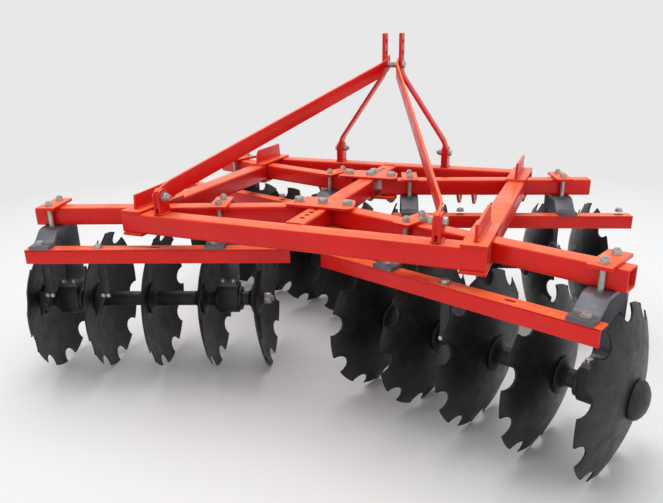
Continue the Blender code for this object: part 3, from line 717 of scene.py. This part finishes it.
def bored_rail(low_y, high_y, holes):
    """The centre rail: its tube as four walls, the top and bottom ones with real holes."""
    length = high_y - low_y
    middle = (low_y + high_y) / 2
    half_z = TALL / 2
    made = []
    corner = 0.011
    wide = DEEP - 2 * corner
    half_x, half_y = wide / 2, length / 2
    outline = [(half_x, half_y), (-half_x, half_y), (-half_x, -half_y), (half_x, -half_y)]
    bores = [circle(0.0, y - middle, 0.0095, 24) for y in holes]
    for z in (MID_Z + half_z - WALL / 2, MID_Z - half_z + WALL / 2):
        made.append(flat([outline, *bores], WALL, top_view(z, 0.0, middle), 0.0004))
    for side in (-1, 1):
        arc = [math.radians(90 * k / 5) for k in range(6)]
        seam_x = side * (half_x - 0.001)
        wall_x = side * (DEEP / 2 - WALL)
        outer = [(seam_x, half_z)]
        for a in arc:
            outer.append((side * (half_x + corner * math.sin(a)), half_z - corner + corner * math.cos(a)))
        for a in arc:
            outer.append((side * (half_x + corner * math.cos(a)), -half_z + corner - corner * math.sin(a)))
        outer.append((seam_x, -half_z))
        inner = [(seam_x, -half_z + WALL), (wall_x, -half_z + WALL + 0.004)]
        inner += [(wall_x, half_z - WALL - 0.004), (seam_x, half_z - WALL)]
        made.append(flat([outer + inner], length, rear_view(middle, 0.0, MID_Z), 0.0003))
    return made


def centre_rail():
    low_y = REAR_Y + DEEP + SEAT_GAP
    high_y = FRONT_Y - DEEP - SEAT_GAP
    holes = []
    for row, pivot in ((-1, REAR_PIVOT_Y), (1, FRONT_PIVOT_Y)):
        holes += [pivot + row * (k * 0.040 + 0.030) for k in range(1, 5)]
    made = bored_rail(low_y, high_y, holes)
    for y in (low_y, high_y):
        for z in (TOP_Z, LOW_Z):
            made.append(bead([(-0.030, y, z), (0.030, y, z)], 0.0042, 7))
        for x in (-0.040, 0.040):
            made.append(bead([(x, y, LOW_Z + 0.010), (x, y, TOP_Z - 0.010)], 0.0042, 9))
    piece("centre_rail_skin", "frame", of(RED, made), ["centre_rail"])


def centre_plates():
    """Top and bottom plate of each row on the centre rail, with the pivot and clamp bolts."""
    outline = [
        (-0.136, -0.030), (-0.136, -0.052), (-0.122, -0.064), (0.122, -0.064), (0.136, -0.052),
        (0.136, -0.030), (0.112, 0.062), (0.092, 0.080), (-0.092, 0.080), (-0.112, 0.062),
    ]
    for name, pivot_y in (("rear", REAR_PIVOT_Y), ("front", FRONT_PIVOT_Y)):
        top_z = TOP_Z + PLATE_GAP + PLATE
        low_z = LOW_Z - PLATE_GAP - PLATE
        plates = [
            flat([soften(outline, 0.012)], PLATE, top_view(top_z - PLATE / 2, 0.0, pivot_y), 0.0012),
            flat([soften(outline, 0.012)], PLATE, top_view(low_z + PLATE / 2, 0.0, pivot_y), 0.0012),
        ]
        bolts = []
        spots = [(-PIVOT_X, 0.0), (0.0, 0.0), (PIVOT_X, 0.0)]
        if name == "front":
            spots.append((0.0, 0.050))
        for k, (x, dy) in enumerate(spots):
            at = (x, pivot_y + dy, top_z)
            bolts += bolt_head(at, (0, 0, 1), 0.022, True, 0.3 + 0.7 * k)
            bolts += nut_on_end((x, pivot_y + dy, low_z), (0, 0, -1), 0.022, 0.006, 0.2 + k)
            if x:
                bolts.append(rod((x, pivot_y, low_z), (x, pivot_y, top_z), 0.0120))
        shapes = of(RED, plates) + of(ZINC, bolts)
        piece(name + "_centre_plates_skin", name + "_plates", shapes, [name + "_centre_plates"])


# ---- mast ----
def mast():
    """Cranked mast bars, braces back to the rear crossbar, and the bolts that join them."""
    for name, side in (("left", -1), ("right", 1)):
        foot_x = side * MAST_FOOT_X
        top_x = side * MAST_TOP_X
        line = bent([(foot_x, TOP_Z + 0.006), (foot_x, 0.800), (top_x, 1.130), (top_x, MAST_TOP_Z)], 0.030)
        bar = flat([strip(line, MAST_THICK)], 0.054, rear_view(FRONT_MID), 0.0012)
        cutters = []
        for z in TOP_LINK_Z:
            cutters.append(rod((side * 0.01, FRONT_MID, z), (side * 0.08, FRONT_MID, z), 0.0130, 32))
        piece(name + "_mast_bar_skin", "frame", of(RED, cut(bar, cutters)), [name + "_mast_bar"])
    brace_x = MAST_TOP_X - MAST_THICK / 2 - SEAT_GAP - BRACE_THICK / 2
    slope = (MAST_BOLT_Z - BRACE_BOLT_Z) / (FRONT_MID - REAR_MID)
    for name, side in (("left", -1), ("right", 1)):
        line = [
            (side * BRACE_FOOT_X, REAR_MID - 0.026), (side * BRACE_FOOT_X, REAR_MID + 0.040),
            (side * brace_x, FRONT_MID - 0.045), (side * brace_x, FRONT_MID + 0.030),
        ]
        bar = flat([strip(bent(line, 0.05), BRACE_THICK)], 0.064, top_view(0.0), 0.0012)
        lean = Matrix.Identity(4)
        lean[2][1] = slope
        lean[2][3] = BRACE_BOLT_Z - slope * REAR_MID
        bar.transform(lean)
        piece(name + "_brace_skin", "frame", of(RED, bar), [name + "_brace"])
    reach = MAST_TOP_X + MAST_THICK / 2
    inner = brace_x - BRACE_THICK / 2 - SEAT_GAP
    bolts = bolt_head((reach, FRONT_MID, MAST_BOLT_Z), (1, 0, 0), 0.0205, False)
    bolts += [hexagon((-reach, FRONT_MID, MAST_BOLT_Z), (-1, 0, 0), 0.030, 0.0125, 0.2)]
    bolts += [rod((-reach, FRONT_MID, MAST_BOLT_Z), (reach, FRONT_MID, MAST_BOLT_Z), 0.0100)]
    bolts += [rod((-inner, FRONT_MID, MAST_BOLT_Z), (inner, FRONT_MID, MAST_BOLT_Z), 0.0160)]
    for side in (-1, 1):
        x = side * BRACE_FOOT_X
        proud = 0.012 if side < 0 else 0.030
        head = (x + side * FOOT_NUT_X, REAR_MID, BRACE_BOLT_Z)
        nut = (x - side * FOOT_NUT_X, REAR_MID, BRACE_BOLT_Z)
        bolts += bolt_head(head, (side, 0, 0), FOOT_BOLT)
        bolts += nut_on_end(nut, (-side, 0, 0), FOOT_BOLT, proud)
        x = side * MAST_FOOT_X
        head = (x + side * MAST_NUT_X, FRONT_MID, MAST_FOOT_BOLT_Z)
        nut = (x - side * MAST_NUT_X, FRONT_MID, MAST_FOOT_BOLT_Z)
        bolts += bolt_head(head, (side, 0, 0), FOOT_BOLT)
        bolts += nut_on_end(nut, (-side, 0, 0), FOOT_BOLT, 0.010)
    piece("mast_bolts", "frame", of(ZINC, bolts), ["mast_cross_bolt"])


def cut(mesh, cutters):
    """The mesh with the cutters taken out of it."""
    holder = bpy.data.objects.new("base", mesh)
    bpy.context.scene.collection.objects.link(holder)
    tools = []
    for cutter in cutters:
        tool = bpy.data.objects.new("tool", cutter)
        bpy.context.scene.collection.objects.link(tool)
        tools.append(tool)
        step = holder.modifiers.new("step", "BOOLEAN")
        step.operation = "DIFFERENCE"
        step.solver = "EXACT"
        step.object = tool
    graph = bpy.context.evaluated_depsgraph_get()
    result = bpy.data.meshes.new_from_object(holder.evaluated_get(graph))
    for obj in [holder, *tools]:
        bpy.data.objects.remove(obj, do_unlink=True)
    return result


# ---- gangs: local x runs out along the beam, y forward, z up ----
def gang_matrix(side, row, angle, pivot_y):
    turn = Matrix.Rotation(math.radians(row * angle), 4, "Z")
    return Matrix.Diagonal((side, 1.0, 1.0, 1.0)) @ Matrix.Translation((PIVOT_X, pivot_y, 0.0)) @ turn


def across(s):
    return plane((0, 1, 0), (0, 0, 1), (s, 0.0, 0.0))


def beam_of(end):
    section = [rounded(BEAM, BEAM, 0.010), rounded(BEAM - 2 * WALL, BEAM - 2 * WALL, 0.005)]
    place = plane((0, 1, 0), (0, 0, 1), ((end - BEAM_BACK) / 2, 0.0, MID_Z))
    return [flat(section, end + BEAM_BACK, place, 0.0012)]


def clamp_of(s):
    """Plate over the beam with two long bolts down to the hanger: (painted, zinc)."""
    top = MID_Z + BEAM / 2 + SEAT_GAP
    red = [block((s - 0.035, -0.084, top), (s + 0.035, 0.084, top + 0.012), None, 0.0014)]
    zinc = []
    low = SEAT_Z - HANGER_THICK / 2
    for k, y in enumerate((-0.0475, 0.0475)):
        zinc.append(rod((s, y, low - 0.004), (s, y, top + 0.002), 0.0096))
        zinc += nut_on_end((s, y, top + 0.012), (0, 0, 1), 0.0150, 0.004, 0.2 + 0.9 * k)
        zinc += [hexagon((s, y, low - 0.0003), (0, 0, -1), 0.026, 0.011, 0.5)]
    return red, zinc


def hanger_of(s):
    """Bent flat bar, and bearing housing with its cap bolts."""
    tongue_z = BAR_TOP + SEAT_GAP + HANGER_THICK / 2
    leg_y = 0.080
    line = [
        (-BAR_REAR - 0.002, tongue_z), (-0.132, tongue_z), (-0.078, SEAT_Z), (leg_y - 0.014, SEAT_Z),
        (leg_y, SEAT_Z - 0.014), (leg_y, 0.368), (leg_y - 0.016, 0.352), (-0.012, 0.352),
    ]
    steel = [flat([strip(bent(line, 0.016), HANGER_THICK)], 0.076, across(s), 0.0016)]
    z = DISC_R
    body = [
        (AXLE_FWD + 0.046, z + 0.064), (AXLE_FWD - 0.046, z + 0.064), (AXLE_FWD - 0.050, z + 0.020),
        (AXLE_FWD - 0.050, z - 0.026), (AXLE_FWD - 0.028, z - 0.056), (AXLE_FWD + 0.028, z - 0.056),
        (AXLE_FWD + 0.050, z - 0.026), (AXLE_FWD + 0.050, z + 0.020),
    ]
    cast = [flat([soften(body, 0.022), circle(AXLE_FWD, z, 0.0312)], 0.084, across(s), 0.004)]
    ring = [circle(AXLE_FWD, z, 0.049, 40), circle(AXLE_FWD, z, 0.0312)]
    for face in (-1, 1):
        cast.append(flat(ring, 0.014, across(s + face * 0.047), 0.003))
    low = (s - 0.036, AXLE_FWD - 0.040, z + 0.050)
    high = (s + 0.036, AXLE_FWD + 0.044, z + 0.0655)
    cast.append(block(low, high, None, 0.003))
    zinc = []
    for k, (ds, dy) in enumerate(((-0.022, -0.016), (0.022, -0.016))):
        zinc += bolt_head((s + ds, AXLE_FWD + dy, 0.359), (0, 0, 1), 0.015, True, 0.4 + k)
    zinc += [hexagon((s, AXLE_FWD, z - 0.056), (0, 0, -1), 0.024, 0.004, 0.1)]
    return steel, cast, zinc


def scraper_bar_of(name, inner, outer, stations, hubs, fitted, concave):
    """Slotted angle bar with the bolts in its slots and the scrapers still fitted: (painted, steel, zinc)."""
    marks = STATIONS[name]
    middle = (inner + outer) / 2
    length = outer - inner
    end = length / 2
    top = [(-end, -BAR_LEG / 2), (end, -BAR_LEG / 2), (end, BAR_LEG / 2), (-end, BAR_LEG / 2)]
    upright = [(-end, -0.0275), (end, -0.0275), (end, 0.0265), (-end, 0.0265)]
    slots = []
    for s in stations:
        slot = rounded(0.034, 0.013, 0.0062, 6)
        slots.append([(s - middle + x, BAR_SLOT_Y + BAR_REAR - BAR_LEG / 2 + y) for x, y in slot])
    red = [
        flat([top, *slots], 0.006, top_view(BAR_TOP - 0.003, middle, -BAR_REAR + BAR_LEG / 2), 0.0012),
        flat([upright], 0.006, rear_view(-BAR_REAR + 0.003, middle, BAR_TOP - BAR_LEG / 2), 0.0012),
    ]
    zinc = []
    steel = []
    for k, (s, mark) in enumerate(zip(stations, marks)):
        if mark == "t":
            zinc += bolt_head((s, BAR_BOLT_Y, BAR_TOP + 0.0143), (0, 0, 1), BAR_BOLT, True, 0.5 + k)
            zinc += nut_on_end((s, BAR_BOLT_Y, BAR_TOP - 0.006), (0, 0, -1), BAR_BOLT, 0.008)
        elif mark in "bs":
            zinc += bolt_head((s, BAR_BOLT_Y, BAR_TOP), (0, 0, 1), BAR_BOLT, True, 0.1 + k)
            zinc += nut_on_end((s, BAR_BOLT_Y, BAR_TOP - 0.0155), (0, 0, -1), BAR_BOLT, 0.008)
    for k in fitted:
        s, hub = stations[k - 1], hubs[k - 1]
        arm_y = BAR_BOLT_Y
        arm = [
            (-BAR_REAR + 0.012, BAR_TOP - 0.0105), (arm_y + 0.010, BAR_TOP - 0.0105),
            (arm_y + 0.014, BAR_TOP - 0.024), (arm_y + 0.014, 0.352),
        ]
        steel.append(flat([strip(bent(arm, 0.010), 0.008)], 0.036, across(s), 0.0010))
        blade = [
            (s - concave * 0.004, 0.376), (s - concave * 0.004, 0.350), (hub + concave * 0.046, 0.262),
            (hub + concave * 0.050, 0.300), (hub + concave * 0.060, 0.376),
        ]
        steel.append(flat([soften(blade, 0.006)], 0.005, rear_view(arm_y + 0.014), 0.0008))
        for ds in (-0.010, 0.010):
            zinc += bolt_head((s + ds, arm_y + 0.0095, 0.364), (0, -1, 0), 0.010, False)
    return red, steel, zinc


def dish(radius):
    """How far the disc is dished at this radius: flat at the hub, then part of a ball."""
    ball = (DISC_R**2 + DISC_DISH**2) / (2 * DISC_DISH)
    if radius <= DISC_FLAT:
        return 0.0
    share = (radius - DISC_FLAT) / (DISC_R - DISC_FLAT)
    rise = ball - math.sqrt(ball**2 - DISC_FLAT**2)
    return ball - math.sqrt(ball**2 - radius**2) - rise * (1 - share)


def notched_rim():
    """(angle, radius, on a tooth) round the rim: each pitch is a tooth's arc, then a round notch."""
    pitch = 2 * math.pi / NOTCHES
    bottom_r, centre = 0.041, DISC_R
    half = pitch / 2 - 2 * math.asin(bottom_r / 2 / DISC_R)
    one = [(-half + half * 2 * k / 6, DISC_R, True) for k in range(7)]
    arc = []
    for k in range(9):
        turn = math.pi * k / 8
        x = centre - bottom_r * math.sin(turn)
        y = -bottom_r * math.cos(turn)
        shrink = min(1.0, DISC_R / math.hypot(x, y))
        x, y = x * shrink, y * shrink
        arc.append((pitch / 2 + math.atan2(y, x), math.hypot(x, y), False))
    rim = []
    for n in range(NOTCHES):
        rim += [(angle + n * pitch, radius, tooth) for angle, radius, tooth in one + arc]
    return rim


RIM = notched_rim()


def disc_of(s, concave, turn):
    """A dished notched disc, its teeth ground to a thin edge on the convex side."""
    columns = len(RIM)
    work = bmesh.new()
    walls = []
    for face in (-1, 1):
        rings = []
        for share in (-2.0, -1.0, 0.0, 0.15, 0.3, 0.45, 0.6, 0.72, 0.84, 0.93, 1.0):
            ring = []
            for angle, rim, tooth in RIM:
                body = DISC_R - 0.046
                if share == -2.0:
                    radius = 0.0168
                elif share == -1.0:
                    radius = DISC_FLAT * 0.7
                elif share <= 0.84:
                    radius = DISC_FLAT + (body - DISC_FLAT) * share / 0.84
                else:
                    inner = rim - (0.011 if tooth else 0.004)
                    inner = max(inner, body - 0.002 if not tooth else body)
                    radius = rim - 0.0002 if share == 1.0 else inner
                thick = DISC_THICK / 2
                if share == 1.0 and tooth and face != concave:
                    thick = -DISC_THICK / 2 + 0.0016
                x = s + concave * dish(min(radius, DISC_R)) + face * thick
                a = angle + math.radians(turn)
                y = AXLE_FWD + radius * math.sin(a)
                ring.append(work.verts.new((x, y, DISC_R - radius * math.cos(a))))
            rings.append(ring)
        for first, second in zip(rings, rings[1:]):
            for k in range(columns):
                n = (k + 1) % columns
                work.faces.new((first[k], second[k], second[n], first[n]))
        walls.append((rings[0], rings[-1]))
    for index in (0, 1):
        first, second = walls[0][index], walls[1][index]
        for k in range(columns):
            n = (k + 1) % columns
            work.faces.new((first[k], second[k], second[n], first[n]))
    return settle(work)


def axle_of(hubs, concave):
    """Flared spools between the discs, the domed washer, and the cone washer and nut at the hollow end."""
    ordered = sorted(hubs)
    half = DISC_THICK / 2 + SEAT_GAP
    place = Matrix.Translation((0.0, AXLE_FWD, DISC_R))
    first, last = ordered[0] - 0.02, ordered[-1] + 0.02
    made = [turned([(first, 0), (first, 0.0155), (last, 0.0155), (last, 0)], 24, place)]
    for a, b in zip(ordered, ordered[1:]):
        low, high = a + half, b - half
        profile = [(low + x, radius) for x, radius in SPOOL_FLARE]
        profile += [(high - (x - low), radius) for x, radius in reversed(profile)]
        made.append(turned(profile, 48, place))
    nut = []
    ends = ((-1, ordered[0] - half, concave > 0), (1, ordered[-1] + half, concave < 0))
    for direction, end, domed in ends:
        profile = [(end + direction * x, radius) for x, radius in (DOME if domed else CONE)]
        made.append(turned(profile, 48, place))
        if not domed:
            at = Vector((end + direction * CONE[-1][0], AXLE_FWD, DISC_R))
            nut += [hexagon(at, (direction, 0, 0), 0.045, 0.026, 0.3)]
            nut += [thread(at, at + Vector((direction * 0.037, 0, 0)), 0.0130)]
    return made, nut


def gangs():
    for name, side, row, angle, pivot_y, end, outer_hub, fitted in GANGS:
        matrix = gang_matrix(side, row, angle, pivot_y)
        hubs = [outer_hub - k * DISC_PITCH for k in range(5)]
        stations = [hub + row * 0.105 for hub in hubs]
        hangers = ((hubs[0] + hubs[1]) / 2, (hubs[3] + hubs[4]) / 2)
        body = name + "_gang"
        beam = of(GANG_RED, beam_of(end))
        piece(name + "_beam_skin", body, beam, [name + "_beam"], matrix)
        for place, s in zip(("outer", "inner"), hangers):
            red, zinc = clamp_of(s)
            clamp = f"{name}_{place}_clamp"
            piece(clamp + "_skin", body, of(GANG_RED, red) + of(ZINC, zinc), [clamp], matrix)
            steel, cast, zinc = hanger_of(s)
            shapes = of(DARK, steel) + of(CAST, cast) + of(ZINC, zinc)
            hanger = f"{name}_{place}_hanger"
            piece(hanger + "_skin", body, shapes, [hanger], matrix)
        inner, outer = stations[-1] - 0.066, stations[0] + 0.052
        red, steel, zinc = scraper_bar_of(name, inner, outer, stations, hubs, fitted, row)
        shapes = of(GANG_RED, red) + of(CAST, steel) + of(ZINC, zinc)
        piece(name + "_scraper_bar_skin", body, shapes, [name + "_scraper_bar"], matrix)
        made, nut = axle_of(hubs, row)
        shapes = of(CAST, made) + of(ZINC, nut)
        piece(name + "_axle_skin", name + "_discs", shapes, [name + "_axle"], matrix)
        for k, s in enumerate(hubs):
            shapes = of(DISC, disc_of(s, row, TURNS[name][k]))
            disc = f"{name}_disc_{k + 1}"
            piece(disc + "_skin", name + "_discs", shapes, [disc], matrix)


crossbars()
side_rails()
centre_rail()
centre_plates()
mast()
gangs()

# ---- floor, backdrop, lights, camera ----
floor_mesh = bpy.data.meshes.new("floor")
floor_mesh.from_pydata([(-40, -40, 0), (40, -40, 0), (40, 40, 0), (-40, 40, 0)], [], [(0, 1, 2, 3)])
floor = bpy.data.objects.new("floor", floor_mesh)
floor.location.z = -0.0005
bpy.context.scene.collection.objects.link(floor)
ground, tree, shader = new_material("floor_pale")
shader.inputs["Base Color"].default_value = (*grey(FLOOR_ALBEDO), 1.0)
shader.inputs["Roughness"].default_value = 0.9
shader.inputs["Specular IOR Level"].default_value = 0.0
spot = tree.nodes.new("ShaderNodeTexCoord")
far = tree.nodes.new("ShaderNodeVectorMath")
far.operation = "LENGTH"
tree.links.new(spot.outputs["Object"], far.inputs[0])
span = tree.nodes.new("ShaderNodeMapRange")
span.inputs["From Min"].default_value = 1.9
span.inputs["From Max"].default_value = 4.2
tree.links.new(far.outputs["Value"], span.inputs["Value"])
glow = tree.nodes.new("ShaderNodeEmission")
glow.inputs["Color"].default_value = (1.0, 1.0, 1.0, 1.0)
glow.inputs["Strength"].default_value = BACKGROUND
blend = tree.nodes.new("ShaderNodeMixShader")
tree.links.new(span.outputs["Result"], blend.inputs[0])
tree.links.new(shader.outputs[0], blend.inputs[1])
tree.links.new(glow.outputs[0], blend.inputs[2])
tree.links.new(blend.outputs[0], tree.nodes["Material Output"].inputs["Surface"])
floor_mesh.materials.append(ground)

world = bpy.data.worlds.new("studio")
world.use_nodes = True
bpy.context.scene.world = world
tree = world.node_tree
sky = tree.nodes["Background"]
sky.inputs["Color"].default_value = (1.0, 1.0, 1.0, 1.0)
sky.inputs["Strength"].default_value = SKY_STRENGTH
seen = tree.nodes.new("ShaderNodeBackground")
seen.inputs["Color"].default_value = (1.0, 1.0, 1.0, 1.0)
seen.inputs["Strength"].default_value = BACKGROUND
path = tree.nodes.new("ShaderNodeLightPath")
either = tree.nodes.new("ShaderNodeMath")
either.operation = "MAXIMUM"
tree.links.new(path.outputs["Is Camera Ray"], either.inputs[0])
tree.links.new(path.outputs["Is Glossy Ray"], either.inputs[1])
pick = tree.nodes.new("ShaderNodeMixShader")
tree.links.new(either.outputs["Value"], pick.inputs[0])
tree.links.new(sky.outputs[0], pick.inputs[1])
tree.links.new(seen.outputs[0], pick.inputs[2])
tree.links.new(pick.outputs[0], tree.nodes["World Output"].inputs["Surface"])

sun = bpy.data.lights.new("sun", "SUN")
sun.energy = SUN_STRENGTH
sun.angle = SUN_SOFT
sun_obj = bpy.data.objects.new("sun", sun)
sun_obj.rotation_euler = Vector(SUN_FROM).to_track_quat("Z", "Y").to_euler()
bpy.context.scene.collection.objects.link(sun_obj)

camera = bpy.data.cameras.new("camera")
camera.sensor_width = 36.0
camera.lens = LENS_MM
camera.shift_x, camera.shift_y = SHIFT
camera_obj = bpy.data.objects.new("camera", camera)
turn = (
    Matrix.Rotation(CAMERA_YAW, 4, "Z")
    @ Matrix.Rotation(math.pi / 2 + CAMERA_PITCH, 4, "X")
    @ Matrix.Rotation(CAMERA_ROLL, 4, "Z")
)
camera_obj.matrix_world = Matrix.Translation(CAMERA_AT) @ turn
bpy.context.scene.collection.objects.link(camera_obj)
bpy.context.scene.camera = camera_obj
bpy.context.scene.view_settings.view_transform = "Standard"

bpy.context.view_layer.update()
